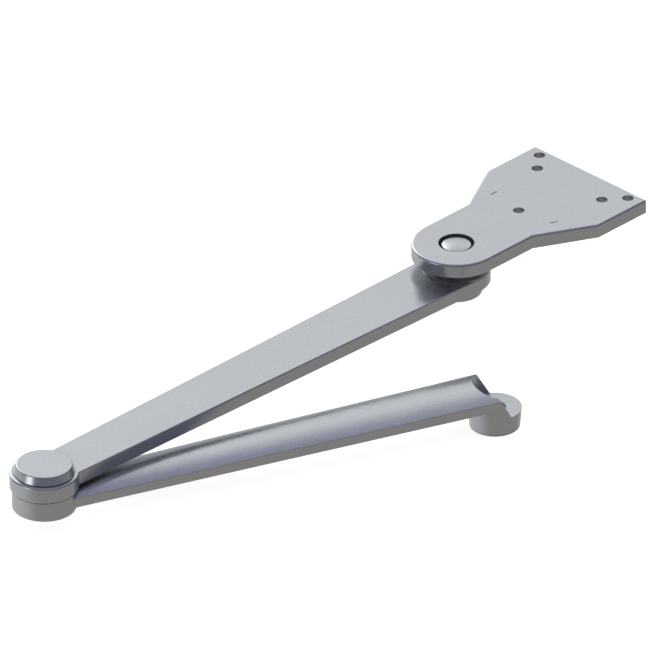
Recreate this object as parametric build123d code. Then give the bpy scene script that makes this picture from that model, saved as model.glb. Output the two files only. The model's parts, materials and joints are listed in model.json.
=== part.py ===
from build123d import *
import os
from math import cos, pi, radians, sin, tan

# Heavy-duty rigid parallel arm of a surface door closer: soffit plate, forearm and main arm.
#
# Units are millimetres. The origin is the mouth of the centre screw hole in the soffit face, +X
# runs along the plate from its pivot to its wide end, and +Z points up into the door frame. Every
# level is counted down from the soffit face, which is z = 0.

# ------------------------------------------------------------------ running gaps and fits
running_gap = 0.05          # radial gap between a turning pin and its bush
axial_play = 0.15           # gap between two bodies along a pivot
press = 0.02                # interference of a pressed sleeve or neck
loose_gap = 0.2             # radial gap of a washer or spring on its pin
groove_gap = 0.05           # gap of a retaining ring in its groove
past = 1.0                  # how far a cutting tool runs past the face that it cuts

# ------------------------------------------------------------------ soffit plate
plate_thick = 9.5
plate_end_radius = 28.9     # round end about the pivot, and half the width of the neck
plate_half_width = 49.6     # half the width of the wide end
pivot_to_screw = 57.5       # pivot to the centre screw hole
neck_length = 40.4          # pivot to the start of the flare
flare_length = 39.4         # length of the flare along the plate
head_length = 44.5          # parallel part at the wide end
plate_top_radius = 1.4      # edge of the soffit face
plate_bottom_radius = 0.4   # edge of the underside
plate_corner_radius = 1.2   # corners of the outline
screw_hole_r = 3.7          # clearance for a quarter-inch screw
screw_sink_r = 6.6          # countersink mouth in the underside
screw_sink_angle = 82.0
outer_screw_inset = 6.9     # outer screw pair to the wide end
inner_screw_inset = 19.9    # inner screw pair to the wide end
outer_screw_half_pitch = 39.3
inner_screw_half_pitch = 28.65
mark_x = 4.5                # hand marks, beside the centre screw hole
mark_y = 26.5
mark_length = 5.5
mark_width = 1.0
mark_depth = 0.3
left_mark_angle = 4.0       # their directions, from +X
right_mark_angle = -28.0

# ------------------------------------------------------------------ shoe pivot
shoe_gap = 8.0              # underside of the plate to the top of the forearm
stud_counterbore_gap = 2.3  # radial room round the head of the stud
stud_head_rim = 1.3         # head of the stud beyond its neck
stud_head_recess = 0.3      # crown of the head below the soffit face
stud_head_dome = 0.9        # height of the crown over the rim of the head
stud_head_thick = 5.4
stud_neck_step = 0.5        # pressed neck beyond the turning length
stud_r = 7.5                # turning length
spacer_wall = 7.3
flange_thick = 0.8          # bush flanges and the washers around them
flange_width = 3.1          # flange of a bush beyond its sleeve
bush_wall = 1.95
bush_split = 0.6            # gap between the upper and lower bush
collar_wall = 3.2
collar_cavity_gap = 1.0     # radial room round the flange and the springs
collar_floor = 1.6
collar_top_gap = 0.3        # rim of the collar below the forearm
collar_skirt = 2.2          # skirt of the collar below its floor
collar_recess_gap = 1.95    # radial room round the lugs of the retaining ring
collar_edge_radius = 0.6
washer_thick = 0.8
disc_thick = 0.7
disc_cone = 0.3             # free height of a disc spring over its thickness
disc_width = 4.9            # disc spring, from its hole to its rim
ring_thick = 1.0
ring_width = 2.6
groove_depth = 0.7
ring_opening = 70.0         # degrees that the retaining ring leaves open
ring_lug_r = 1.7
ring_lug_hole_r = 0.6
pin_tail = 1.0              # pin beyond its retaining ring
pin_chamfer = 0.5

# ------------------------------------------------------------------ forearm
forearm_length = 366.5      # between its two pivots
forearm_angle = -1.2        # its rest direction, from the elbow to the shoe pivot
forearm_thick = 9.55
forearm_half_elbow = 15.8   # half width of the bar at the elbow axis
forearm_half_shoe = 22.0    # half width of the bar at the shoe axis
eye_r = 22.1
elbow_eye_thick = 10.9
bar_edge_radius = 0.9
eye_top_radius = 1.3        # edges of the elbow eye
eye_bottom_radius = 1.3

# ------------------------------------------------------------------ elbow
elbow_pin_r = 9.5
elbow_pin_head_rim = 3.7    # head of the pin beyond its shank
elbow_pin_head_thick = 3.4
elbow_pin_head_recess = 1.0
elbow_pin_head_gap = 0.15   # radial gap of the head in its counterbore
elbow_pin_lead = 0.5        # end of the pressed length, below the top of the hub
elbow_pocket_depth = 3.4    # pocket in the top of the forearm's eye
cap_inset = 1.4             # foot of the cap inside the flat top of the eye
cap_taper = 1.6             # how much narrower the cap is at its top
cap_height = 5.9
cap_roof = 1.8
cap_edge_radius = 0.7
cap_spigot_wall = 1.0
cap_spigot_gap = 0.5        # radial room between the disc springs and the spigot
cap_spigot_length = 1.9
cap_seam = 0.4              # groove that the cap leaves over the forearm
cap_seat_inset = 2.1        # depth of that groove
wear_washer_inset = 1.7     # washer inside the eye's side

# ------------------------------------------------------------------ main arm
arm_length = 312.7          # elbow axis to pinion axis
arm_angle = -21.55          # its rest direction, from the elbow to the pinion
elbow_hub_inset = 1.45      # hub inside the eye's side
elbow_hub_height = 13.05
elbow_hub_edge = 0.6
arm_half_elbow = 15.6       # half width of the crowned bar
arm_half_pinion = 19.5
arm_rise = 10.2             # height of the bar, from its flat underside to its crown
arm_flank = 6.9             # height of its upright sides
crown_clearance = 0.45      # crown of the bar below the forearm's bar, at the pinion
eye_relief = 0.6            # radial room around the forearm's eye
arm_edge_radius = 0.8       # lower edges of the bar
crown_edge_radius = 0.4     # edges between its sides and its crown
pinion_hub_r = 17.3         # at the level of its floor
pinion_hub_height = 13.1    # floor to foot
pinion_hub_draft = 4.8
pinion_hub_edge = 0.6
hub_overlap = 1.5           # how far the hub reaches up into the arm
pocket_depth = 7.6          # floor of the screw pocket below the arm's flat underside
pocket_wall = 2.0           # wall beside the pocket, at the floor
pocket_draft = 4.0
pocket_end_radius = 20.6    # round end of the pocket, at the floor
pocket_setback = 12.6       # that end, from the pinion axis towards the elbow
pocket_side_blend = 8.0     # between the round end and the straight sides
pocket_corner_radius = 1.5
nose_setback = 3.95         # where the nose slope meets the floor, beyond the pinion axis
nose_angle = 60.0
spline_teeth = 36
spline_tip_r = 6.6
spline_depth = 0.5
spline_chamfer = 0.2
pinion_recess_step = 2.2    # plain recess at the foot for the pinion's shoulder
pinion_recess_depth = 2.0

# ------------------------------------------------------------------ derived places and levels
pivot_x = -pivot_to_screw
wide_end_x = pivot_x + neck_length + flare_length + head_length
plate_bottom = -plate_thick
bar_top = plate_bottom - shoe_gap
bar_bottom = bar_top - forearm_thick
eye_bottom = bar_top - elbow_eye_thick
hub_top = eye_bottom - flange_thick - axial_play
hub_bottom = hub_top - elbow_hub_height
arm_flat_elbow = hub_top - arm_rise
arm_flat_pinion = bar_bottom - crown_clearance - arm_rise
pocket_floor = arm_flat_pinion - pocket_depth
pinion_foot = pocket_floor - pinion_hub_height
elbow_x = pivot_x - forearm_length * cos(radians(forearm_angle))
elbow_y = -forearm_length * sin(radians(forearm_angle))

shoe_axis = Pos(pivot_x, 0, 0)
elbow_axis = Pos(elbow_x, elbow_y, 0)
forearm_place = elbow_axis * Rot(0, 0, forearm_angle)
arm_place = elbow_axis * Rot(0, 0, arm_angle)

stud_neck_r = stud_r + stud_neck_step
stud_head_r = stud_neck_r + stud_head_rim
stud_counterbore_r = stud_head_r + stud_counterbore_gap
spacer_r = stud_neck_r + loose_gap + spacer_wall
shoe_bush_r = stud_r + running_gap + bush_wall
shoe_flange_r = shoe_bush_r + flange_width
collar_cavity_r = shoe_flange_r + collar_cavity_gap
collar_r = collar_cavity_r + collar_wall
collar_recess_r = stud_r - groove_depth + groove_gap + 2 * ring_lug_r + collar_recess_gap
elbow_pin_head_r = elbow_pin_r + elbow_pin_head_rim
elbow_bush_r = elbow_pin_r + running_gap + bush_wall
elbow_flange_r = elbow_bush_r + flange_width
cap_spigot_bore = elbow_pin_r + loose_gap + disc_width + cap_spigot_gap
elbow_pocket_r = cap_spigot_bore + cap_spigot_wall
cap_base_r = eye_r - eye_top_radius - cap_inset
cap_top_r = cap_base_r - cap_taper
cap_seat_r = cap_base_r - cap_seat_inset
wear_washer_r = eye_r - wear_washer_inset
elbow_hub_r = eye_r - elbow_hub_inset
pocket_half_width = pinion_hub_r - pocket_wall
spline_root_r = spline_tip_r + spline_depth
pinion_recess_r = spline_root_r + pinion_recess_step
elbow_pocket_floor = bar_top - elbow_pocket_depth


# ------------------------------------------------------------------ shape helpers
def cylinder(radius, top, bottom, x=0.0, y=0.0):
    """Upright cylinder between two levels."""
    blank = Cylinder(radius, top - bottom, align=(Align.CENTER, Align.CENTER, Align.MIN))
    return Pos(x, y, bottom) * blank


def ring(outer, inner, top, bottom):
    """Flat ring between two levels."""
    return cylinder(outer, top, bottom) - cylinder(inner, top + past, bottom - past)


def turned_polygon(points):
    """Body turned about Z from a closed polygon of (radius, level) points."""
    outline = Polyline(*[(r, 0, z) for r, z in points], close=True)
    return revolve(make_face(outline), Axis.Z)


def flanged_bush(inner, sleeve_r, flange_r, flange_top, sleeve_end):
    """Plain bearing bush whose flange is above its sleeve, or below it if the sleeve ends higher."""
    points_up = sleeve_end > flange_top
    seat = flange_top if points_up else flange_top - flange_thick
    far = flange_top - flange_thick if points_up else flange_top
    outline = [
        (inner, far),
        (flange_r, far),
        (flange_r, seat),
        (sleeve_r + press, seat),
        (sleeve_r + press, sleeve_end),
        (inner, sleeve_end),
    ]
    return turned_polygon(outline)


def disc_spring_pair(inner, top):
    """Two opposed conical disc springs that touch at their rims, from the given level down."""
    outer = inner + disc_width
    upper = turned_polygon([
        (inner, top),
        (inner, top - disc_thick),
        (outer, top - disc_thick - disc_cone),
        (outer, top - disc_cone),
    ])
    middle = top - disc_thick - disc_cone
    lower = turned_polygon([
        (outer, middle),
        (outer, middle - disc_thick),
        (inner, middle - disc_thick - disc_cone),
        (inner, middle - disc_cone),
    ])
    return Compound(children=[upper, lower])


def disc_pair_height():
    """Height of a pair of disc springs."""
    return 2 * (disc_thick + disc_cone)


def retaining_ring(groove_r, top):
    """Open retaining ring with a drilled lug at each end of its gap."""
    inner = groove_r + groove_gap
    outer = inner + ring_width
    bottom = top - ring_thick
    body = ring(outer, inner, top, bottom)
    half = radians(ring_opening / 2)
    reach = 2 * outer
    gap = Polyline(
        (0, 0),
        (reach * cos(half), reach * sin(half)),
        (reach * cos(half), -reach * sin(half)),
        close=True,
    )
    wedge = extrude(make_face(gap), amount=ring_thick + 2 * past)
    body -= Pos(0, 0, bottom - past) * wedge
    lug_distance = inner + ring_lug_r
    for side in (-1, 1):
        x = lug_distance * cos(side * half)
        y = lug_distance * sin(side * half)
        body += cylinder(ring_lug_r, top, bottom, x, y)
        body -= cylinder(ring_lug_hole_r, top + past, bottom - past, x, y)
    return body


# ------------------------------------------------------------------ soffit plate
def plate_outline():
    """Outline of the plate: round pivot end, neck, flare and parallel wide end."""
    flare_start = pivot_x + neck_length
    flare_end = flare_start + flare_length
    side = [
        (pivot_x, plate_end_radius),
        (flare_start, plate_end_radius),
        (flare_end, plate_half_width),
        (wide_end_x, plate_half_width),
    ]
    other_side = [(x, -y) for x, y in reversed(side)]
    straight = Polyline(*side, *other_side)
    nose = ThreePointArc(side[0], (pivot_x - plate_end_radius, 0), other_side[-1])
    return make_face(straight + nose)


def screw_places():
    """Centres of the five screw holes."""
    outer_x = wide_end_x - outer_screw_inset
    inner_x = wide_end_x - inner_screw_inset
    places = [(0, 0)]
    for side in (-1, 1):
        places.append((outer_x, side * outer_screw_half_pitch))
        places.append((inner_x, side * inner_screw_half_pitch))
    return places


def screw_hole():
    """Through hole with a countersink in the underside, at the origin."""
    sink_depth = (screw_sink_r - screw_hole_r) / tan(radians(screw_sink_angle / 2))
    outline = [
        (0, past),
        (screw_hole_r, past),
        (screw_hole_r, plate_bottom + sink_depth),
        (screw_sink_r, plate_bottom),
        (screw_sink_r, plate_bottom - past),
        (0, plate_bottom - past),
    ]
    return turned_polygon(outline)


def hand_marks():
    """Stamped strokes on the soffit face, one on each side, whose directions tell the hand."""
    stroke = Box(mark_length, mark_width, 2 * mark_depth)
    left = Pos(mark_x, mark_y, 0) * Rot(0, 0, left_mark_angle) * stroke
    right = Pos(mark_x, -mark_y, 0) * Rot(0, 0, right_mark_angle) * stroke
    return [left, right]


def soffit_plate():
    """Steel plate that screws up to the frame's soffit and carries the shoe stud."""
    plate = Pos(0, 0, plate_bottom) * extrude(plate_outline(), amount=plate_thick)
    corners = plate.edges().filter_by(Axis.Z).filter_by(lambda e: e.center().X > pivot_x + past)
    plate = fillet(corners, plate_corner_radius)
    plate = fillet(plate.faces().sort_by(Axis.Z)[-1].outer_wire().edges(), plate_top_radius)
    plate = fillet(plate.faces().sort_by(Axis.Z)[0].outer_wire().edges(), plate_bottom_radius)
    for x, y in screw_places():
        plate -= Pos(x, y, 0) * screw_hole()
    head_seat = -stud_head_recess - stud_head_thick
    plate -= cylinder(stud_counterbore_r, past, head_seat, pivot_x)
    plate -= cylinder(stud_neck_r, past, plate_bottom - past, pivot_x)
    for stroke in hand_marks():
        plate -= stroke
    return plate


# ------------------------------------------------------------------ shoe pivot
spacer_bottom = bar_top + flange_thick + axial_play
shoe_washer_top = bar_bottom - flange_thick - axial_play
shoe_disc_top = shoe_washer_top - washer_thick
collar_floor_top = shoe_disc_top - disc_pair_height()
shoe_ring_top = collar_floor_top - collar_floor
stud_end = shoe_ring_top - ring_thick - pin_tail


def shoe_stud():
    """Headed stud: domed head in the plate, pressed neck, turning length and ring groove."""
    crown = -stud_head_recess
    rim = crown - stud_head_dome
    seat = crown - stud_head_thick
    dome = TangentArc((0, 0, crown), (stud_head_r, 0, rim), tangent=(1, 0, 0))
    groove_r = stud_r - groove_depth
    neck_r = stud_neck_r + press
    side = Polyline(
        (stud_head_r, 0, rim),
        (stud_head_r, 0, seat),
        (neck_r, 0, seat),
        (neck_r, 0, spacer_bottom),
        (stud_r, 0, spacer_bottom),
        (stud_r, 0, shoe_ring_top + groove_gap),
        (groove_r, 0, shoe_ring_top + groove_gap),
        (groove_r, 0, shoe_ring_top - ring_thick - groove_gap),
        (stud_r, 0, shoe_ring_top - ring_thick - groove_gap),
        (stud_r, 0, stud_end + pin_chamfer),
        (stud_r - pin_chamfer, 0, stud_end),
        (0, 0, stud_end),
        (0, 0, crown),
    )
    return shoe_axis * revolve(make_face(dome + side), Axis.Z)


def shoe_spacer():
    """Spacer between the plate and the forearm's upper washer."""
    return shoe_axis * ring(spacer_r, stud_neck_r + loose_gap, plate_bottom, spacer_bottom)


def shoe_thrust_washer():
    """Wide washer on top of the forearm's eye, around the flange of the upper bush."""
    inner = shoe_flange_r + loose_gap
    return shoe_axis * ring(eye_r, inner, bar_top + flange_thick, bar_top)


def shoe_upper_bush():
    """Flanged bush pressed in from above."""
    middle = (bar_top + bar_bottom) / 2
    bush = flanged_bush(stud_r + running_gap, shoe_bush_r, shoe_flange_r,
                        bar_top + flange_thick, middle + bush_split / 2)
    return shoe_axis * bush


def shoe_lower_bush():
    """Flanged bush pressed in from below."""
    middle = (bar_top + bar_bottom) / 2
    bush = flanged_bush(stud_r + running_gap, shoe_bush_r, shoe_flange_r,
                        bar_bottom, middle - bush_split / 2)
    return shoe_axis * bush


def shoe_lower_washer():
    """Flat washer under the lower bush."""
    inner = stud_r + loose_gap
    outer = inner + disc_width
    return shoe_axis * ring(outer, inner, shoe_washer_top, shoe_disc_top)


def shoe_disc_springs():
    """Disc springs that take up the play of the shoe pivot."""
    return shoe_axis * disc_spring_pair(stud_r + loose_gap, shoe_disc_top)


def shoe_collar():
    """Round collar under the forearm: it houses the springs and rests on the retaining ring."""
    top = bar_bottom - collar_top_gap
    floor_bottom = collar_floor_top - collar_floor
    bottom = floor_bottom - collar_skirt
    body = cylinder(collar_r, top, bottom)
    body = fillet(body.edges().sort_by(Axis.Z)[0], collar_edge_radius)
    body -= cylinder(collar_cavity_r, top + past, collar_floor_top)
    body -= cylinder(collar_recess_r, floor_bottom, bottom - past)
    body -= cylinder(stud_r + loose_gap, top, bottom)
    return shoe_axis * body


def shoe_retaining_ring():
    """Retaining ring on the tail of the stud."""
    return shoe_axis * retaining_ring(stud_r - groove_depth, shoe_ring_top)


# ------------------------------------------------------------------ forearm
def forearm():
    """Flat tapered bar with a round eye at each end."""
    outline = Polyline(
        (0, -forearm_half_elbow),
        (forearm_length, -forearm_half_shoe),
        (forearm_length, forearm_half_shoe),
        (0, forearm_half_elbow),
        close=True,
    )
    bar = Pos(0, 0, bar_bottom) * extrude(make_face(outline), amount=forearm_thick)
    bar += cylinder(eye_r, bar_top, bar_bottom, forearm_length)
    long_edges = [e for e in bar.edges() if 0 < e.center().X and e.length > forearm_length / 2]
    shoe_rims = [e for e in bar.edges().filter_by(GeomType.CIRCLE) if e.center().X > forearm_length / 2]
    bar = fillet(long_edges + shoe_rims, bar_edge_radius)
    eye = cylinder(eye_r, bar_top, eye_bottom)
    eye = fillet(eye.edges().sort_by(Axis.Z)[-1], eye_top_radius)
    eye = fillet(eye.edges().sort_by(Axis.Z)[0], eye_bottom_radius)
    arm = bar + eye
    arm -= cylinder(shoe_bush_r, bar_top + past, bar_bottom - past, forearm_length)
    arm -= cylinder(elbow_bush_r, bar_top + past, eye_bottom - past)
    arm -= cylinder(elbow_pocket_r, bar_top + past, elbow_pocket_floor)
    return forearm_place * arm


# ------------------------------------------------------------------ elbow
elbow_washer_bottom = elbow_pocket_floor + flange_thick + axial_play
elbow_washer_top = elbow_washer_bottom + washer_thick
elbow_ring_bottom = elbow_washer_top + disc_pair_height()
elbow_ring_top = elbow_ring_bottom + ring_thick
elbow_pin_top = elbow_ring_top + pin_tail
elbow_bush_middle = (elbow_pocket_floor + eye_bottom) / 2
elbow_head_bottom = hub_bottom + elbow_pin_head_recess
elbow_head_top = elbow_head_bottom + elbow_pin_head_thick


def elbow_upper_bush():
    """Flanged bush pressed into the pocket of the forearm's eye."""
    bush = flanged_bush(elbow_pin_r + running_gap, elbow_bush_r, elbow_flange_r,
                        elbow_pocket_floor + flange_thick, elbow_bush_middle + bush_split / 2)
    return elbow_axis * bush


def elbow_lower_bush():
    """Flanged bush pressed into the forearm's eye from below."""
    bush = flanged_bush(elbow_pin_r + running_gap, elbow_bush_r, elbow_flange_r,
                        eye_bottom, elbow_bush_middle - bush_split / 2)
    return elbow_axis * bush


def elbow_wear_washer():
    """Wide washer under the forearm's eye, around the flange of the lower bush."""
    inner = elbow_flange_r + loose_gap
    return elbow_axis * ring(wear_washer_r, inner, eye_bottom, eye_bottom - flange_thick)


def elbow_pin():
    """Headed pin pressed up through the main arm's hub, with a ring groove near its top."""
    groove_r = elbow_pin_r - groove_depth
    pressed_r = elbow_pin_r + press
    outline = [
        (0, elbow_head_bottom),
        (elbow_pin_head_r - pin_chamfer, elbow_head_bottom),
        (elbow_pin_head_r, elbow_head_bottom + pin_chamfer),
        (elbow_pin_head_r, elbow_head_top),
        (pressed_r, elbow_head_top),
        (pressed_r, hub_top - elbow_pin_lead),
        (elbow_pin_r, hub_top - elbow_pin_lead),
        (elbow_pin_r, elbow_ring_bottom - groove_gap),
        (groove_r, elbow_ring_bottom - groove_gap),
        (groove_r, elbow_ring_top + groove_gap),
        (elbow_pin_r, elbow_ring_top + groove_gap),
        (elbow_pin_r, elbow_pin_top - pin_chamfer),
        (elbow_pin_r - pin_chamfer, elbow_pin_top),
        (0, elbow_pin_top),
    ]
    return elbow_axis * turned_polygon(outline)


def elbow_top_washer():
    """Flat washer on the upper bush."""
    inner = elbow_pin_r + loose_gap
    return elbow_axis * ring(elbow_flange_r - loose_gap, inner, elbow_washer_top, elbow_washer_bottom)


def elbow_disc_springs():
    """Disc springs that take up the play of the elbow."""
    inner = elbow_pin_r + loose_gap
    return elbow_axis * disc_spring_pair(inner, elbow_ring_bottom)


def elbow_retaining_ring():
    """Retaining ring at the top of the elbow pin."""
    return elbow_axis * retaining_ring(elbow_pin_r - groove_depth, elbow_ring_top)


def elbow_cap():
    """Hollow cap that closes the elbow, with a spigot pressed into the forearm's pocket."""
    top = bar_top + cap_height
    spigot_r = elbow_pocket_r + press
    spigot_end = bar_top - cap_spigot_length
    outline = [
        (0, top),
        (cap_top_r, top),
        (cap_base_r, bar_top + cap_seam),
        (cap_seat_r, bar_top + cap_seam),
        (cap_seat_r, bar_top),
        (spigot_r, bar_top),
        (spigot_r, spigot_end),
        (cap_spigot_bore, spigot_end),
        (cap_spigot_bore, top - cap_roof),
        (0, top - cap_roof),
    ]
    cap = turned_polygon(outline)
    rim = cap.edges().filter_by(GeomType.CIRCLE).group_by(Axis.Z)[-1]
    cap = fillet(rim, cap_edge_radius)
    return elbow_axis * cap


# ------------------------------------------------------------------ main arm
def crowned_section(x, half_width, flat):
    """Section across the arm at a distance from the elbow axis: flat base, upright sides, arched top."""
    across = Plane(origin=(x, 0, flat), x_dir=(0, 1, 0), z_dir=(1, 0, 0))
    sides = Polyline((-half_width, arm_flank), (-half_width, 0), (half_width, 0), (half_width, arm_flank))
    crown = ThreePointArc((half_width, arm_flank), (0, arm_rise), (-half_width, arm_flank))
    return across * make_face(sides + crown)


def arm_bar():
    """Crowned bar that widens from the elbow to the pinion hub."""
    elbow_end = crowned_section(0, arm_half_elbow, arm_flat_elbow)
    pinion_end = crowned_section(arm_length, arm_half_pinion, arm_flat_pinion)
    bar = loft([elbow_end, pinion_end])
    bar = fillet(long_edges(bar)[:2], arm_edge_radius)
    return fillet(long_edges(bar)[-2:], crown_edge_radius)


def long_edges(bar):
    """Edges that run along the bar, the lowest first."""
    return bar.edges().filter_by(lambda edge: edge.length > arm_length / 2).sort_by(Axis.Z)


def pinion_hub_blank():
    """Hub that is drafted from its foot to the pocket floor and upright from there into the arm."""
    foot_r = pinion_hub_r - pinion_hub_height * tan(radians(pinion_hub_draft))
    cone = Cone(foot_r, pinion_hub_r, pinion_hub_height, align=(Align.CENTER, Align.CENTER, Align.MIN))
    cone = fillet(cone.edges().sort_by(Axis.Z)[0], pinion_hub_edge)
    neck = cylinder(pinion_hub_r, arm_flat_pinion + hub_overlap, pocket_floor)
    return Pos(arm_length, 0, 0) * (Pos(0, 0, pinion_foot) * cone + neck)


def nose_cut():
    """Everything over the floor and in front of the sloping nose of the arm."""
    height = pocket_depth + arm_rise + past
    back = nose_setback - height / tan(radians(nose_angle))
    reach = 3 * pinion_hub_r
    outline = Polyline(
        (arm_length + nose_setback, 0, pocket_floor),
        (arm_length + back, 0, pocket_floor + height),
        (arm_length + reach, 0, pocket_floor + height),
        (arm_length + reach, 0, pocket_floor),
        close=True,
    )
    return extrude(make_face(outline), amount=reach, both=True)


def screw_pocket():
    """Drafted pocket over the pinion hub, round at one end and open at the nose, for the pinion screw."""
    height = pocket_depth + arm_rise + past
    round_end = Pos(pocket_end_radius - pocket_setback, 0) * Circle(pocket_end_radius)
    outline = round_end & Rectangle(4 * pocket_end_radius, 2 * pocket_half_width)
    outline = fillet(outline.vertices().group_by(Axis.X)[0], pocket_side_blend)
    tool = extrude(outline, amount=height, taper=-pocket_draft)
    tool = fillet(tool.edges().group_by(Axis.Z)[0], pocket_corner_radius)
    return Pos(arm_length, 0, pocket_floor) * tool


def spline_bore():
    """Serrated bore for the pinion, with a lead-in at the floor and a plain recess at the foot."""
    points = []
    for tooth in range(2 * spline_teeth):
        radius = spline_tip_r if tooth % 2 else spline_root_r
        angle = pi * tooth / spline_teeth
        points.append((radius * cos(angle), radius * sin(angle)))
    section = make_face(Polyline(*points, close=True))
    height = pinion_hub_height + 2 * past
    bore = Pos(0, 0, pinion_foot - past) * extrude(section, amount=height)
    lead_r = spline_root_r + spline_chamfer
    bore += Pos(0, 0, pocket_floor - spline_chamfer) * Cone(
        spline_root_r, lead_r, spline_chamfer, align=(Align.CENTER, Align.CENTER, Align.MIN))
    bore += cylinder(pinion_recess_r, pinion_foot + pinion_recess_depth, pinion_foot - past)
    return Pos(arm_length, 0, 0) * bore


def with_elbow_hub(arm):
    """The arm with its round elbow hub, cut level under the forearm's eye."""
    blank = cylinder(elbow_hub_r, bar_top, hub_bottom)
    arm += fillet(blank.edges().sort_by(Axis.Z)[0], elbow_hub_edge)
    return arm - cylinder(eye_r + eye_relief, bar_top + past, hub_top)


def main_arm():
    """Half-round arm with the elbow hub, the pinion hub and its screw pocket, in one forging."""
    arm = arm_bar() + pinion_hub_blank()
    arm -= nose_cut()
    arm -= screw_pocket()
    arm = with_elbow_hub(arm)
    arm -= cylinder(elbow_pin_r, hub_top + past, hub_bottom - past)
    arm -= cylinder(elbow_pin_head_r + elbow_pin_head_gap, elbow_head_top, hub_bottom - past)
    arm -= spline_bore()
    return arm_place * arm


# ------------------------------------------------------------------ export
pieces = {
    "soffit_plate": soffit_plate,
    "shoe_stud": shoe_stud,
    "shoe_spacer": shoe_spacer,
    "shoe_thrust_washer": shoe_thrust_washer,
    "shoe_upper_bush": shoe_upper_bush,
    "shoe_lower_bush": shoe_lower_bush,
    "shoe_lower_washer": shoe_lower_washer,
    "shoe_disc_springs": shoe_disc_springs,
    "shoe_collar": shoe_collar,
    "shoe_retaining_ring": shoe_retaining_ring,
    "forearm": forearm,
    "elbow_cap": elbow_cap,
    "elbow_upper_bush": elbow_upper_bush,
    "elbow_lower_bush": elbow_lower_bush,
    "elbow_wear_washer": elbow_wear_washer,
    "elbow_pin": elbow_pin,
    "elbow_top_washer": elbow_top_washer,
    "elbow_disc_springs": elbow_disc_springs,
    "elbow_retaining_ring": elbow_retaining_ring,
    "main_arm": main_arm,
}

os.makedirs("parts", exist_ok=True)
for name, make in pieces.items():
    export_step(make(), f"parts/{name}.step")
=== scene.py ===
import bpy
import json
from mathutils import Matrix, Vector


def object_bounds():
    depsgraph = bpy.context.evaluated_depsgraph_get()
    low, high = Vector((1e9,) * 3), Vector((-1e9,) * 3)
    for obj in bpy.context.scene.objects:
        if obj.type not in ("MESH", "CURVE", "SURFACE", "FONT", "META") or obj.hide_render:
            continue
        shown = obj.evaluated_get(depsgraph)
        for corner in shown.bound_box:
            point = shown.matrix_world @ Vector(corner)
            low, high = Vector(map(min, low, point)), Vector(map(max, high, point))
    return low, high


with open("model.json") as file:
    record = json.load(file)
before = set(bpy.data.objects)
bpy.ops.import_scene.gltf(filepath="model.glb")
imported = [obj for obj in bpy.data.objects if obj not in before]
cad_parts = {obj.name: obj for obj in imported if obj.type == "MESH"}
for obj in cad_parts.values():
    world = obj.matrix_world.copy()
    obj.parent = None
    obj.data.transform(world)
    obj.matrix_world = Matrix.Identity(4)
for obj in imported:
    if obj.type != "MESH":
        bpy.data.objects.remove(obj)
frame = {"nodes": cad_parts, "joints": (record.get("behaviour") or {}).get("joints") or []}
CAD_BOX = [list(corner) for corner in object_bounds()]

import json
from math import cos, radians, sin

import bpy
from bpy.props import FloatProperty, FloatVectorProperty, PointerProperty
from mathutils import Vector

bl_info = {
    "name": "Door closer arm finishes",
    "version": (1, 0, 0),
    "blender": (4, 5, 0),
    "location": "3D View > Sidebar > Closer arm",
    "description": "Paint, steel and bronze for the arm of a surface door closer, and a studio round it",
    "category": "Material",
}

# The frame holds every place and size of the part itself, in metres, with +Z up. The values below
# are the finishes and the studio. Colours are in linear light.

PIVOTS = {joint["name"]: Vector(joint["pos_m"]) for joint in frame["joints"]}

# Plain steel washers of each pivot.
WASHERS = {
    "shoe": ("shoe_lower_washer", "shoe_thrust_washer"),
    "elbow": ("elbow_top_washer",),
}

# Tones are shares of a finish's own colour, channel by channel.
# The tone below darkens sharp edges bluish: partly rubbed wear, partly a painted dark reflection.
EDGE_WEAR_AND_REFLECTION_TONE = (0.62, 0.64, 0.70)
# Painted shade: the tone below is the dark colour that seams and inside corners are darkened to.
SEAM_SHADE_TONE = (0.12, 0.12, 0.13)
DULL_TONE = (0.82, 0.82, 0.82)
OILED_TONE = (0.45, 0.45, 0.45)

# Heights of the bumps and size of the oil patches, in metres. The flakes' height is a share of the peel's.
COAT_BUMP = 0.000012
TURNED_BUMP = 0.000006
FLAKE_HEIGHT = 0.12
OIL_PATCH = 0.004

# Ranges of a noise value that a ramp stretches to its two ends: the closer, the harder the patches.
SOFT_NOISE = (0.3, 0.7)
MIDDLE_NOISE = (0.35, 0.65)
HARD_NOISE = (0.38, 0.62)

# What the ramps turn noise into: shares of the colour and roughness, and shifts of the roughness.
FLAKE_SHADE = (0.965, 1.035)
CLOUD_ROUGHNESS = (0.92, 1.1)
FLAKE_ROUGHNESS = (-0.015, 0.015)
RING_ROUGHNESS = (0.06, -0.03)
OIL_SMOOTHING = 0.08

# Oil starts at a noise value that falls as the cover grows, and is full a fade above it.
OIL_START = 0.75
OIL_FALL = 0.5
OIL_FADE = 0.2

# Start and end of the edge mask, as the cosine between a face and the rounded normal, and of the seam
# mask of painted shade, as the share of the surroundings that is open.
# The edge mask carries rubbed wear together with a painted dark reflection along sharp edges.
EDGE_TURN = (0.995, 0.90)
SEAM_SHADE_OPENNESS = (0.85, 0.35)

# Stage, in metres, and the sensor, in millimetres. The lamp's place is from the middle of the object.
FLOOR_SIZE = 30.0
FLOOR_TONE = 0.8
FLOOR_GLOW = 0.75
TENT_RADIUS = 8.0
LAMP_PLACE = Vector((0.3, 0.3, 1.6))
LAMP_SIZE = 1.6
SENSOR_WIDTH = 36.0

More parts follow.
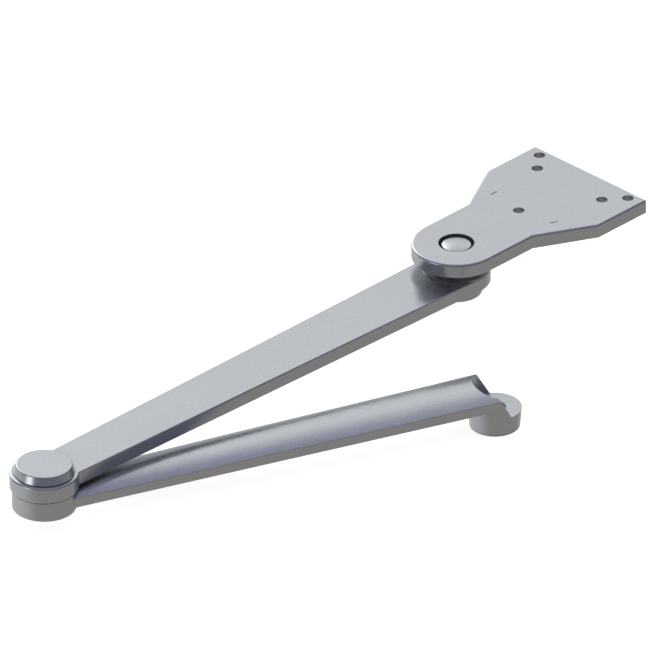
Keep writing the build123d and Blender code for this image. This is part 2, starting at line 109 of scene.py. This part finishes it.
# Where the parts of the tent lie, in degrees. A rise, foot or top holds the elevations at which a part
# is absent and full. A reach holds an azimuth, and the angles from it at which a part is absent and full.
CARD_RISE = (30, 72)
FAR_CARD_RISE = (30, 42)
WALL_FOOT = (0, 33)
WALL_TOP = (70, 38)
WALL_REACH = (150, 60, 37)
WINDOW_FOOT = (0, 8)
WINDOW_TOP = (50, 40)
WINDOW_REACH = (163, 22, 16)
HORIZON_RISE = (-8, 0)
NEAR_TO_FAR_REACH = (180, 120, 0)
STREAK_FOOT = (-16, -6)
STREAK_TOP = (18, 8)
STREAK_REACH = (-101, 14, 7)


# ------------------------------------------------------------------ settings
class CoatSettings(bpy.types.PropertyGroup):
    """Sprayed aluminium coat of the plate, the arms and the smaller pieces that show."""

    colour: FloatVectorProperty(
        name="Coat colour",
        description="Tone of the sprayed coat on a flat face",
        subtype="COLOR",
        size=3,
        min=0.0,
        max=1.0,
        default=(0.500, 0.518, 0.545),
    )
    metal: FloatProperty(
        name="Flake share",
        description="How much of the light the metal flakes return, against the binder",
        subtype="FACTOR",
        min=0.0,
        max=1.0,
        default=0.92,
    )
    roughness: FloatProperty(
        name="Coat roughness",
        description="How far the coat blurs what it reflects",
        subtype="FACTOR",
        min=0.0,
        max=1.0,
        default=0.26,
    )
    flake_size: FloatProperty(
        name="Flake size",
        description="Size of the visible clumps of flakes",
        subtype="DISTANCE",
        unit="LENGTH",
        default=0.0003,
    )
    peel_size: FloatProperty(
        name="Peel size",
        description="Size of the faint waves that spraying leaves",
        subtype="DISTANCE",
        unit="LENGTH",
        default=0.0016,
    )
    mottle_size: FloatProperty(
        name="Mottle size",
        description="Size of the soft clouds where the coat is thicker or thinner",
        subtype="DISTANCE",
        unit="LENGTH",
        default=0.024,
    )
    # Rubbed wear and painted dark reflection: these two settings set the darker line along sharp edges.
    edge_width: FloatProperty(
        name="Edge width",
        description="Width of the line of wear and painted reflection along sharp edges",
        subtype="DISTANCE",
        unit="LENGTH",
        default=0.0006,
    )
    edge_wear_and_reflection_share: FloatProperty(
        name="Edge wear and reflection share",
        description="How far the sharp edges take a darker tone of wear and painted reflection",
        subtype="FACTOR",
        min=0.0,
        max=1.0,
        default=0.06,
    )
    # Painted shade: these two settings darken the coat in seams and inside corners, where its surroundings
    # close in.
    seam_shade_reach: FloatProperty(
        name="Seam shade reach",
        description="How far the painted shade in seams and inside corners spreads",
        subtype="DISTANCE",
        unit="LENGTH",
        default=0.004,
    )
    seam_shade_share: FloatProperty(
        name="Seam shade share",
        description="How far the painted shade darkens the coat in seams and inside corners",
        subtype="FACTOR",
        min=0.0,
        max=1.0,
        default=0.4,
    )


class BareMetalSettings(bpy.types.PropertyGroup):
    """Steel and bronze of the pieces inside the two pivots."""

    steel: FloatVectorProperty(
        name="Steel colour",
        description="Ground and hardened steel",
        subtype="COLOR",
        size=3,
        min=0.0,
        max=1.0,
        default=(0.46, 0.45, 0.43),
    )
    spring_steel: FloatVectorProperty(
        name="Spring steel colour",
        description="Oiled black spring steel",
        subtype="COLOR",
        size=3,
        min=0.0,
        max=1.0,
        default=(0.055, 0.055, 0.062),
    )
    bronze: FloatVectorProperty(
        name="Bronze colour",
        description="Machined bearing bronze",
        subtype="COLOR",
        size=3,
        min=0.0,
        max=1.0,
        default=(0.56, 0.33, 0.14),
    )
    turning_pitch: FloatProperty(
        name="Turning pitch",
        description="Distance between the rings that the lathe leaves",
        subtype="DISTANCE",
        unit="LENGTH",
        default=0.00035,
    )


class StudioSettings(bpy.types.PropertyGroup):
    """Camera, lamp, even light, and the tones and windows that glossy faces mirror."""

    azimuth: FloatProperty(
        name="Camera azimuth",
        description="Angle of the camera round the object, from a view along +Y",
        subtype="ANGLE",
        unit="ROTATION",
        default=radians(-45.78),
    )
    elevation: FloatProperty(
        name="Camera elevation",
        description="Angle of the camera above the horizon",
        subtype="ANGLE",
        unit="ROTATION",
        default=radians(30.37),
    )
    picture_width: FloatProperty(
        name="Picture width",
        description="Width of the view at the object",
        subtype="DISTANCE",
        unit="LENGTH",
        default=0.4194,
    )
    lens: FloatProperty(
        name="Lens",
        description="Focal length: a very long lens keeps parallel edges parallel",
        unit="CAMERA",
        default=1600.0,
    )
    aim_right: FloatProperty(
        name="Aim to the right",
        description="View centre to the right of the middle of the object's box",
        subtype="DISTANCE",
        unit="LENGTH",
        default=-0.01554,
    )
    aim_up: FloatProperty(
        name="Aim up",
        description="View centre above the middle of the object's box",
        subtype="DISTANCE",
        unit="LENGTH",
        default=0.0306,
    )
    top_lamp: FloatProperty(
        name="Top lamp",
        description="Strength of the large soft lamp overhead",
        unit="POWER",
        default=10.0,
    )
    fill: FloatProperty(
        name="Fill",
        description="Strength of the even light from all round",
        min=0.0,
        default=0.6,
    )
    near_ground: FloatVectorProperty(
        name="Near ground",
        description="Tone of the ground towards the camera, which upright faces mirror",
        subtype="COLOR",
        size=3,
        min=0.0,
        max=1.0,
        default=(0.385, 0.365, 0.335),
    )
    far_ground: FloatVectorProperty(
        name="Far ground",
        description="Tone of the ground behind the object, which the turned-away sides of the hubs mirror",
        subtype="COLOR",
        size=3,
        min=0.0,
        max=1.0,
        default=(0.72, 0.72, 0.71),
    )
    low_card: FloatVectorProperty(
        name="Low card",
        description="Tone of the dark card round the camera, which rounded edges mirror",
        subtype="COLOR",
        size=3,
        min=0.0,
        max=1.0,
        default=(0.118, 0.128, 0.185),
    )
    high_card: FloatVectorProperty(
        name="High card",
        description="Tone of the bluish card overhead, which the near side of the main arm's crown mirrors",
        subtype="COLOR",
        size=3,
        min=0.0,
        max=1.0,
        default=(0.30, 0.315, 0.45),
    )
    far_card: FloatVectorProperty(
        name="Far card",
        description="Tone of the far horizon, which the far side of the main arm's crown mirrors",
        subtype="COLOR",
        size=3,
        min=0.0,
        max=1.0,
        default=(0.54, 0.56, 0.575),
    )
    wall: FloatProperty(
        name="Bright wall",
        description="Brightness of the wall behind the object, which level faces mirror",
        min=0.0,
        default=1.0,
    )
    window: FloatProperty(
        name="Window",
        description="Brightness of the window beside the bright wall",
        min=0.0,
        default=2.5,
    )
    streak: FloatProperty(
        name="Streak",
        description="Brightness of the narrow window at the camera's left",
        min=0.0,
        default=2.2,
    )


# ------------------------------------------------------------------ node helpers
def node(tree, kind, **values):
    """A new node with its properties set."""
    made = tree.nodes.new(kind)
    for name, value in values.items():
        setattr(made, name, value)
    return made


def connect(tree, socket, source):
    """Links an input to another socket, or sets it to a constant."""
    if isinstance(source, bpy.types.NodeSocket):
        tree.links.new(source, socket)
    else:
        socket.default_value = source


def feed(tree, target, *sources):
    """Sets or links the first inputs of a node, in order."""
    for socket, source in zip(target.inputs, sources):
        connect(tree, socket, source)
    return target


def calculate(tree, operation, *sources):
    """Output of a Math node."""
    return feed(tree, node(tree, "ShaderNodeMath", operation=operation), *sources).outputs[0]


def ramp(tree, value, low, high, to_low=0.0, to_high=1.0):
    """A value eased from one range to another, held at the ends."""
    remap = node(tree, "ShaderNodeMapRange", interpolation_type="SMOOTHSTEP")
    return feed(tree, remap, value, low, high, to_low, to_high).outputs[0]


def blend_colours(tree, factor, first, second):
    """Mix of two colours."""
    mix = node(tree, "ShaderNodeMix", data_type="RGBA")
    inputs = {socket.identifier: socket for socket in mix.inputs}
    for name, source in (("Factor_Float", factor), ("A_Color", first), ("B_Color", second)):
        connect(tree, inputs[name], source)
    return next(socket for socket in mix.outputs if socket.identifier == "Result_Color")


def noise(tree, place, size, detail=2.0, roughness=0.5):
    """Noise value with features of about the given size in metres."""
    made = node(tree, "ShaderNodeTexNoise")
    scale = calculate(tree, "DIVIDE", 1.0, size)
    tree.links.new(place, made.inputs["Vector"])
    tree.links.new(scale, made.inputs["Scale"])
    made.inputs["Detail"].default_value = detail
    made.inputs["Roughness"].default_value = roughness
    return made.outputs["Fac"]


def start_group(name, inputs, outputs):
    """An empty node group with named sockets, its input node and its output node."""
    group = bpy.data.node_groups.new(name, "ShaderNodeTree")
    for label, kind, default in inputs:
        socket = group.interface.new_socket(label, in_out="INPUT", socket_type=kind)
        if default is not None:
            socket.default_value = default
    for label, kind in outputs:
        group.interface.new_socket(label, in_out="OUTPUT", socket_type=kind)
    return group, node(group, "NodeGroupInput"), node(group, "NodeGroupOutput")


# ------------------------------------------------------------------ shared effects
def make_coat_group():
    """Sprayed coat: clouded tint, flakes, peel and a roughness that follows them."""
    group, given, result = start_group(
        "Sprayed coat",
        [
            ("Tint", "NodeSocketColor", (0.5, 0.5, 0.5, 1.0)),
            ("Roughness", "NodeSocketFloat", 0.3),
            ("Flake size", "NodeSocketFloat", 0.0003),
            ("Peel size", "NodeSocketFloat", 0.0016),
            ("Mottle size", "NodeSocketFloat", 0.024),
            ("Mottle", "NodeSocketFloat", 0.05),
        ],
        [
            ("Color", "NodeSocketColor"),
            ("Roughness", "NodeSocketFloat"),
            ("Height", "NodeSocketFloat"),
        ],
    )
    place = node(group, "ShaderNodeTexCoord").outputs["Object"]
    clouds = noise(group, place, given.outputs["Mottle size"], detail=4.0)
    flakes = noise(group, place, given.outputs["Flake size"], detail=1.0)
    peel = noise(group, place, given.outputs["Peel size"], detail=1.5)
    either_way = calculate(group, "SUBTRACT", clouds, 0.5)
    cloud_shade = calculate(group, "MULTIPLY_ADD", either_way, given.outputs["Mottle"], 1.0)
    flake_shade = ramp(group, flakes, *SOFT_NOISE, *FLAKE_SHADE)
    shade = calculate(group, "MULTIPLY", cloud_shade, flake_shade)
    tinted = node(group, "ShaderNodeVectorMath", operation="SCALE")
    group.links.new(given.outputs["Tint"], tinted.inputs["Vector"])
    group.links.new(shade, tinted.inputs["Scale"])
    clouded = ramp(group, clouds, *SOFT_NOISE, *CLOUD_ROUGHNESS)
    rough = calculate(group, "MULTIPLY", given.outputs["Roughness"], clouded)
    rough = calculate(group, "ADD", rough, ramp(group, flakes, *MIDDLE_NOISE, *FLAKE_ROUGHNESS))
    height = calculate(group, "ADD", peel, calculate(group, "MULTIPLY", flakes, FLAKE_HEIGHT))
    group.links.new(tinted.outputs["Vector"], result.inputs["Color"])
    group.links.new(rough, result.inputs["Roughness"])
    group.links.new(height, result.inputs["Height"])
    return group


def make_edge_wear_and_reflection_group():
    """Mask of sharp outer edges, for rubbed wear with a painted dark reflection, broken up where handling
    has missed them.
    """
    group, given, result = start_group(
        "Rubbed edge and painted reflection",
        [("Width", "NodeSocketFloat", 0.0006), ("Patch size", "NodeSocketFloat", 0.006)],
        [("Mask", "NodeSocketFloat")],
    )
    rounded = node(group, "ShaderNodeBevel", samples=6)
    group.links.new(given.outputs["Width"], rounded.inputs["Radius"])
    flat = node(group, "ShaderNodeNewGeometry").outputs["Normal"]
    turn = node(group, "ShaderNodeVectorMath", operation="DOT_PRODUCT")
    feed(group, turn, rounded.outputs["Normal"], flat)
    sharp = ramp(group, turn.outputs["Value"], *EDGE_TURN)
    place = node(group, "ShaderNodeTexCoord").outputs["Object"]
    patches = ramp(group, noise(group, place, given.outputs["Patch size"], detail=3.0), *HARD_NOISE)
    group.links.new(calculate(group, "MULTIPLY", sharp, patches), result.inputs["Mask"])
    return group


def make_seam_shade_group():
    """Mask of painted shade in seams and inside corners, where the surroundings close in."""
    group, given, result = start_group(
        "Painted seam shade",
        [("Reach", "NodeSocketFloat", 0.004)],
        [("Mask", "NodeSocketFloat")],
    )
    # Painted shade: how open the surroundings are becomes a darkening mask.
    openness = node(group, "ShaderNodeAmbientOcclusion", samples=8)
    group.links.new(given.outputs["Reach"], openness.inputs["Distance"])
    group.links.new(ramp(group, openness.outputs["AO"], *SEAM_SHADE_OPENNESS), result.inputs["Mask"])
    return group


def make_turned_group():
    """Rings that a lathe leaves round a piece's own axis."""
    group, given, result = start_group(
        "Turned rings",
        [("Place", "NodeSocketVector", None), ("Pitch", "NodeSocketFloat", 0.00035)],
        [("Height", "NodeSocketFloat"), ("Mask", "NodeSocketFloat")],
    )
    parts = node(group, "ShaderNodeSeparateXYZ")
    group.links.new(given.outputs["Place"], parts.inputs["Vector"])
    flat = node(group, "ShaderNodeCombineXYZ")
    feed(group, flat, parts.outputs["X"], parts.outputs["Y"])
    radius = node(group, "ShaderNodeVectorMath", operation="LENGTH")
    group.links.new(flat.outputs["Vector"], radius.inputs[0])
    along = calculate(group, "ADD", radius.outputs["Value"], parts.outputs["Z"])
    rings = node(group, "ShaderNodeTexNoise", noise_dimensions="1D")
    group.links.new(calculate(group, "DIVIDE", along, given.outputs["Pitch"]), rings.inputs["W"])
    rings.inputs["Scale"].default_value = 1.0
    rings.inputs["Detail"].default_value = 2.0
    group.links.new(rings.outputs["Fac"], result.inputs["Height"])
    group.links.new(ramp(group, rings.outputs["Fac"], *MIDDLE_NOISE), result.inputs["Mask"])
    return group


def make_oil_group():
    """Soft patches of oil or grime that darken a surface and change its roughness."""
    group, given, result = start_group(
        "Oil patches",
        [("Patch size", "NodeSocketFloat", 0.004), ("Cover", "NodeSocketFloat", 0.5)],
        [("Mask", "NodeSocketFloat")],
    )
    place = node(group, "ShaderNodeTexCoord").outputs["Object"]
    patches = noise(group, place, given.outputs["Patch size"], detail=4.0, roughness=0.6)
    fall = calculate(group, "MULTIPLY", given.outputs["Cover"], OIL_FALL)
    low = calculate(group, "SUBTRACT", OIL_START, fall)
    high = calculate(group, "ADD", low, OIL_FADE)
    group.links.new(ramp(group, patches, low, high), result.inputs["Mask"])
    return group


def shared_group(name, make):
    """The node group of that name, made the first time that it is asked for."""
    return bpy.data.node_groups.get(name) or make()


def place_group(tree, name, make, **values):
    """A group node in a material, with its named inputs set or linked."""
    made = node(tree, "ShaderNodeGroup", node_tree=shared_group(name, make))
    for label, value in values.items():
        connect(tree, made.inputs[label.replace("_", " ").capitalize()], value)
    return made.outputs


# ------------------------------------------------------------------ materials
def start_material(name):
    """A new material, its node tree and its Principled shader."""
    material = bpy.data.materials.new(name)
    material.use_nodes = True
    return material, material.node_tree, material.node_tree.nodes["Principled BSDF"]


def toned(colour, tone):
    """A colour with each channel scaled by a tone."""
    return (*(channel * share for channel, share in zip(colour, tone)), 1.0)


def add_bump(tree, shader, height, distance):
    """Bumps a shader's normal by a height value, which is worth a distance in metres."""
    bump = node(tree, "ShaderNodeBump")
    bump.inputs["Distance"].default_value = distance
    bump.inputs["Strength"].default_value = 1.0
    tree.links.new(height, bump.inputs["Height"])
    tree.links.new(bump.outputs["Normal"], shader.inputs["Normal"])


def sprayed_coat(name, tone=1.0, roughness_shift=0.0, mottle=0.05):
    """Sprayed aluminium coat, with rubbed wear and a painted dark reflection along its edges, and painted
    shade in its seams.
    """
    coat = bpy.context.scene.closer_coat
    material, tree, shader = start_material(name)
    tint = (*(tone * channel for channel in coat.colour), 1.0)
    sprayed = place_group(
        tree,
        "Sprayed coat",
        make_coat_group,
        tint=tint,
        roughness=coat.roughness + roughness_shift,
        flake_size=coat.flake_size,
        peel_size=coat.peel_size,
        mottle_size=coat.mottle_size,
        mottle=mottle,
    )
    # Sharp edges take a darker, bluish tone: partly rubbed wear, partly a painted dark reflection.
    edge = place_group(tree, "Rubbed edge and painted reflection", make_edge_wear_and_reflection_group, width=coat.edge_width)["Mask"]
    edge_wear_and_reflection_share = calculate(tree, "MULTIPLY", edge, coat.edge_wear_and_reflection_share)
    colour = blend_colours(tree, edge_wear_and_reflection_share, sprayed["Color"], toned(tint, EDGE_WEAR_AND_REFLECTION_TONE))
    # Painted shade: the coat darkens towards a near-black tone in seams and inside corners.
    seam = place_group(tree, "Painted seam shade", make_seam_shade_group, reach=coat.seam_shade_reach)["Mask"]
    seam_shade_share = calculate(tree, "MULTIPLY", seam, coat.seam_shade_share)
    colour = blend_colours(tree, seam_shade_share, colour, toned(tint, SEAM_SHADE_TONE))
    tree.links.new(colour, shader.inputs["Base Color"])
    tree.links.new(sprayed["Roughness"], shader.inputs["Roughness"])
    shader.inputs["Metallic"].default_value = coat.metal
    add_bump(tree, shader, sprayed["Height"], COAT_BUMP)
    return material


def bare_metal(name, colour, axis, roughness, pitch_share=1.0, oil=0.3):
    """Turned or ground metal with rings about its own axis and patches of oil."""
    metal = bpy.context.scene.closer_bare_metal
    material, tree, shader = start_material(name)
    centred = node(tree, "ShaderNodeMapping", vector_type="POINT")
    centred.inputs["Location"].default_value = (-axis.x, -axis.y, 0.0)
    tree.links.new(node(tree, "ShaderNodeTexCoord").outputs["Object"], centred.inputs["Vector"])
    rings = place_group(
        tree,
        "Turned rings",
        make_turned_group,
        place=centred.outputs["Vector"],
        pitch=pitch_share * metal.turning_pitch,
    )
    patches = place_group(tree, "Oil patches", make_oil_group, patch_size=OIL_PATCH, cover=oil)["Mask"]
    ringed = blend_colours(tree, rings["Mask"], toned(colour, DULL_TONE), (*colour, 1.0))
    oiled = blend_colours(tree, patches, ringed, toned(colour, OILED_TONE))
    tree.links.new(oiled, shader.inputs["Base Color"])
    between, on_rings = (roughness + shift for shift in RING_ROUGHNESS)
    rough = ramp(tree, rings["Mask"], 0.0, 1.0, between, on_rings)
    rough = calculate(tree, "SUBTRACT", rough, calculate(tree, "MULTIPLY", patches, OIL_SMOOTHING))
    tree.links.new(rough, shader.inputs["Roughness"])
    shader.inputs["Metallic"].default_value = 1.0
    add_bump(tree, shader, rings["Height"], TURNED_BUMP)
    return material


def finish(material, *nodes):
    """Gives CAD nodes a material in place of the plain one."""
    for name in nodes:
        slots = frame["nodes"][name].data.materials
        slots.clear()
        slots.append(material)


# ------------------------------------------------------------------ finishes
class CLOSER_OT_finish_plate(bpy.types.Operator):
    """Sprays the soffit plate and the domed head of its stud"""

    bl_idname = "closer.finish_plate"
    bl_label = "Finish plate and stud"

    def execute(self, context):
        finish(sprayed_coat("sprayed_metal_plate"), "soffit_plate")
        finish(sprayed_coat("sprayed_metal_stud", tone=1.02, roughness_shift=-0.04), "shoe_stud")
        return {"FINISHED"}


class CLOSER_OT_finish_shoe_pivot(bpy.types.Operator):
    """Sprays the spacer and the collar of the shoe pivot"""

    bl_idname = "closer.finish_shoe_pivot"
    bl_label = "Finish shoe pivot"

    def execute(self, context):
        finish(sprayed_coat("sprayed_metal_spacer", tone=0.97), "shoe_spacer")
        finish(sprayed_coat("sprayed_metal_collar"), "shoe_collar")
        return {"FINISHED"}


class CLOSER_OT_finish_forearm(bpy.types.Operator):
    """Sprays the forearm, the cap over the elbow and the washer in the elbow's seam"""

    bl_idname = "closer.finish_forearm"
    bl_label = "Finish forearm and cap"

    def execute(self, context):
        finish(sprayed_coat("sprayed_metal_forearm"), "forearm")
        finish(sprayed_coat("sprayed_metal_cap"), "elbow_cap")
        finish(sprayed_coat("sprayed_metal_seam_washer"), "elbow_wear_washer")
        return {"FINISHED"}


class CLOSER_OT_finish_main_arm(bpy.types.Operator):
    """Sprays the forged main arm, with a little more mottle than the other pieces"""

    bl_idname = "closer.finish_main_arm"
    bl_label = "Finish main arm"

    def execute(self, context):
        finish(sprayed_coat("sprayed_metal_main_arm", mottle=0.07), "main_arm")
        return {"FINISHED"}


class CLOSER_OT_finish_bearings(bpy.types.Operator):
    """Turns the bronze bushes and the steel pin and washers"""

    bl_idname = "closer.finish_bearings"
    bl_label = "Finish bushes, pin and washers"

    def execute(self, context):
        metal = context.scene.closer_bare_metal
        for end, washers in WASHERS.items():
            pivot = end + "_pivot"
            axis = PIVOTS[pivot]
            bronze = bare_metal("bearing_bronze_" + pivot, metal.bronze, axis, roughness=0.32)
            finish(bronze, end + "_upper_bush", end + "_lower_bush")
            steel = bare_metal("washer_steel_" + pivot, metal.steel, axis, roughness=0.3, pitch_share=0.7)
            finish(steel, *washers)
        ground = bare_metal("ground_steel", metal.steel, PIVOTS["elbow_pivot"], roughness=0.26, oil=0.2)
        finish(ground, "elbow_pin")
        return {"FINISHED"}


class CLOSER_OT_finish_springs(bpy.types.Operator):
    """Blackens and oils the disc springs and the retaining rings"""

    bl_idname = "closer.finish_springs"
    bl_label = "Finish springs and rings"

    def execute(self, context):
        metal = context.scene.closer_bare_metal
        for end in ("shoe", "elbow"):
            axis = PIVOTS[end + "_pivot"]
            steel = bare_metal("spring_steel_" + end, metal.spring_steel, axis, roughness=0.38, oil=0.6)
            finish(steel, end + "_disc_springs", end + "_retaining_ring")
        return {"FINISHED"}


# ------------------------------------------------------------------ studio
def view_directions(studio):
    """Right, up and backwards directions of the camera."""
    azimuth, elevation = studio.azimuth, studio.elevation
    right = Vector((cos(azimuth), sin(azimuth), 0.0))
    back = Vector((sin(azimuth) * cos(elevation), -cos(azimuth) * cos(elevation), sin(elevation)))
    return right, back.cross(right), back


def add_camera(studio):
    """Camera with a very long lens at the viewing angle."""
    right, up, back = view_directions(studio)
    low, high = (Vector(corner) for corner in CAD_BOX)
    aim = (low + high) / 2 + studio.aim_right * right + studio.aim_up * up
    lens = bpy.data.cameras.new("Camera")
    lens.lens = studio.lens
    lens.sensor_width = SENSOR_WIDTH
    distance = studio.picture_width * lens.lens / lens.sensor_width
    lens.clip_start = 0.5 * distance
    lens.clip_end = 2.0 * distance
    camera = bpy.data.objects.new("Camera", lens)
    camera.location = aim + distance * back
    camera.rotation_euler = back.to_track_quat("Z", "Y").to_euler()
    bpy.context.scene.collection.objects.link(camera)
    bpy.context.scene.camera = camera


def add_lamp(name, place, aim, size, power):
    """Soft square lamp that faces a point and isn't mirrored."""
    lamp = bpy.data.lights.new(name, "AREA")
    lamp.shape = "SQUARE"
    lamp.size = size
    lamp.energy = power
    made = bpy.data.objects.new(name, lamp)
    made.location = place
    made.rotation_euler = (place - aim).to_track_quat("Z", "Y").to_euler()
    made.visible_glossy = False
    bpy.context.scene.collection.objects.link(made)


def background_share(tree):
    """1 for rays that see the background: from the camera, and through or off glossy and clear surfaces."""
    ray = node(tree, "ShaderNodeLightPath").outputs
    seen = calculate(tree, "ADD", ray["Is Camera Ray"], ray["Is Glossy Ray"])
    seen = calculate(tree, "ADD", seen, ray["Is Transmission Ray"])
    return calculate(tree, "MINIMUM", seen, 1.0)


def set_world(studio):
    """Even light from all round, in front of a white background."""
    world = bpy.data.worlds.new("Studio")
    bpy.context.scene.world = world
    world.use_nodes = True
    tree = world.node_tree
    light = tree.nodes["Background"]
    strength = node(tree, "ShaderNodeMapRange")
    feed(tree, strength, background_share(tree), 0.0, 1.0, studio.fill, 1.0)
    light.inputs["Color"].default_value = grey(1.0)
    tree.links.new(strength.outputs[0], light.inputs["Strength"])


def floor_material():
    """Pale floor that shows white and keeps a shadow, and shows nothing from below."""
    material, tree, shader = start_material("Floor")
    shader.inputs["Base Color"].default_value = grey(FLOOR_TONE)
    shader.inputs["Roughness"].default_value = 1.0
    shader.inputs["Specular IOR Level"].default_value = 0.0
    glow = node(tree, "ShaderNodeEmission")
    tree.links.new(calculate(tree, "MULTIPLY", background_share(tree), FLOOR_GLOW), glow.inputs["Strength"])
    lit = feed(tree, node(tree, "ShaderNodeAddShader"), shader.outputs[0], glow.outputs[0])
    clear = node(tree, "ShaderNodeBsdfTransparent")
    under = node(tree, "ShaderNodeNewGeometry").outputs["Backfacing"]
    sides = feed(tree, node(tree, "ShaderNodeMixShader"), under, lit.outputs[0], clear.outputs[0])
    tree.links.new(sides.outputs[0], tree.nodes["Material Output"].inputs["Surface"])
    return material


def over(tree, height, start, end):
    """0 at one elevation and 1 at the other, in degrees, from the height of a direction."""
    return ramp(tree, height, sin(radians(start)), sin(radians(end)))


def towards(tree, level, azimuth, start, end):
    """0 at one angle from an azimuth and 1 at the other, in degrees, from a direction without its rise."""
    dot = node(tree, "ShaderNodeVectorMath", operation="DOT_PRODUCT")
    feed(tree, dot, level, (sin(radians(azimuth)), -cos(radians(azimuth)), 0.0))
    return ramp(tree, dot.outputs["Value"], cos(radians(start)), cos(radians(end)))


def product(tree, *factors):
    """Product of several values."""
    total = factors[0]
    for factor in factors[1:]:
        total = calculate(tree, "MULTIPLY", total, factor)
    return total


def grey(value):
    """Neutral colour of a given brightness."""
    return (value, value, value, 1.0)


def tent_material(studio):
    """All that glossy faces mirror: the ground, dark cards, a bright wall behind and two windows."""
    material = bpy.data.materials.new("Tent")
    material.use_nodes = True
    tree = material.node_tree
    direction = node(tree, "ShaderNodeVectorMath", operation="NORMALIZE")
    tree.links.new(node(tree, "ShaderNodeTexCoord").outputs["Object"], direction.inputs[0])
    parts = node(tree, "ShaderNodeSeparateXYZ")
    tree.links.new(direction.outputs["Vector"], parts.inputs[0])
    height = parts.outputs["Z"]
    flat = node(tree, "ShaderNodeVectorMath", operation="MULTIPLY")
    feed(tree, flat, direction.outputs["Vector"], (1.0, 1.0, 0.0))
    level = node(tree, "ShaderNodeVectorMath", operation="NORMALIZE")
    tree.links.new(flat.outputs["Vector"], level.inputs[0])
    level = level.outputs["Vector"]

    low, high, far = ((*card, 1.0) for card in (studio.low_card, studio.high_card, studio.far_card))
    cards = blend_colours(tree, over(tree, height, *CARD_RISE), low, high)
    behind = blend_colours(tree, over(tree, height, *FAR_CARD_RISE), far, high)
    wall = product(tree, over(tree, height, *WALL_FOOT), over(tree, height, *WALL_TOP))
    behind = blend_colours(tree, wall, behind, grey(studio.wall))
    sky = blend_colours(tree, towards(tree, level, *WALL_REACH), cards, behind)
    window = product(
        tree,
        over(tree, height, *WINDOW_FOOT),
        over(tree, height, *WINDOW_TOP),
        towards(tree, level, *WINDOW_REACH),
    )
    sky = blend_colours(tree, window, sky, grey(studio.window))

    near, beyond = ((*ground, 1.0) for ground in (studio.near_ground, studio.far_ground))
    ground = blend_colours(tree, towards(tree, level, *NEAR_TO_FAR_REACH), near, beyond)
    colour = blend_colours(tree, over(tree, height, *HORIZON_RISE), ground, sky)
    streak = product(
        tree,
        over(tree, height, *STREAK_FOOT),
        over(tree, height, *STREAK_TOP),
        towards(tree, level, *STREAK_REACH),
    )
    colour = blend_colours(tree, streak, colour, grey(studio.streak))
    glow = node(tree, "ShaderNodeEmission")
    tree.links.new(colour, glow.inputs["Color"])
    tree.links.new(glow.outputs[0], tree.nodes["Material Output"].inputs["Surface"])
    return material


def add_plane(name, centre, size, material):
    """Level square of the stage."""
    bpy.ops.object.select_all(action="DESELECT")
    bpy.ops.mesh.primitive_plane_add(size=size, location=centre)
    plane = bpy.context.object
    plane.name = name
    plane.data.materials.append(material)
    return plane


def add_tent(centre, radius, material):
    """Ball round the object that carries what glossy faces mirror."""
    bpy.ops.object.select_all(action="DESELECT")
    bpy.ops.mesh.primitive_uv_sphere_add(radius=radius, location=centre, segments=48, ring_count=24)
    tent = bpy.context.object
    tent.name = "Tent"
    tent.data.materials.append(material)
    return tent


def only_mirrored(tent):
    """Lets the tent show in glossy surfaces and nowhere else."""
    tent.visible_camera = False
    tent.visible_diffuse = False
    tent.visible_shadow = False
    tent.visible_transmission = False


class CLOSER_OT_build_studio(bpy.types.Operator):
    """Sets the camera, floor, mirrored tent, lamp and background"""

    bl_idname = "closer.build_studio"
    bl_label = "Build studio"

    def execute(self, context):
        studio = context.scene.closer_studio
        low, high = (Vector(corner) for corner in CAD_BOX)
        middle = (low + high) / 2
        add_camera(studio)
        floor = add_plane("Floor", (middle.x, middle.y, low.z), FLOOR_SIZE, floor_material())
        floor.visible_glossy = False
        only_mirrored(add_tent(middle, TENT_RADIUS, tent_material(studio)))
        add_lamp("Top_lamp", middle + LAMP_PLACE, middle, LAMP_SIZE, studio.top_lamp)
        set_world(studio)
        context.scene.view_settings.view_transform = "Standard"
        return {"FINISHED"}


class CLOSER_PT_panel(bpy.types.Panel):
    """Lists the settings and the steps"""

    bl_idname = "CLOSER_PT_panel"
    bl_label = "Closer arm"
    bl_space_type = "VIEW_3D"
    bl_region_type = "UI"
    bl_category = "Closer arm"

    def draw(self, context):
        layout = self.layout
        for owner in SETTINGS:
            box = layout.box()
            for name in SETTINGS[owner].__annotations__:
                box.prop(getattr(context.scene, owner), name)
        for step in STEPS:
            layout.operator(step.bl_idname)


SETTINGS = {
    "closer_coat": CoatSettings,
    "closer_bare_metal": BareMetalSettings,
    "closer_studio": StudioSettings,
}
STEPS = (
    CLOSER_OT_finish_plate,
    CLOSER_OT_finish_shoe_pivot,
    CLOSER_OT_finish_forearm,
    CLOSER_OT_finish_main_arm,
    CLOSER_OT_finish_bearings,
    CLOSER_OT_finish_springs,
    CLOSER_OT_build_studio,
)


def register():
    for owner, group in SETTINGS.items():
        bpy.utils.register_class(group)
        setattr(bpy.types.Scene, owner, PointerProperty(type=group))
    for made in (*STEPS, CLOSER_PT_panel):
        bpy.utils.register_class(made)


def unregister():
    for made in (CLOSER_PT_panel, *reversed(STEPS)):
        bpy.utils.unregister_class(made)
    for owner, group in SETTINGS.items():
        delattr(bpy.types.Scene, owner)
        bpy.utils.unregister_class(group)


def main():
    """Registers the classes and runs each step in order."""
    register()
    for step in STEPS:
        category, name = step.bl_idname.split(".")
        getattr(getattr(bpy.ops, category), name)()


if __name__ == "__main__":
    main()
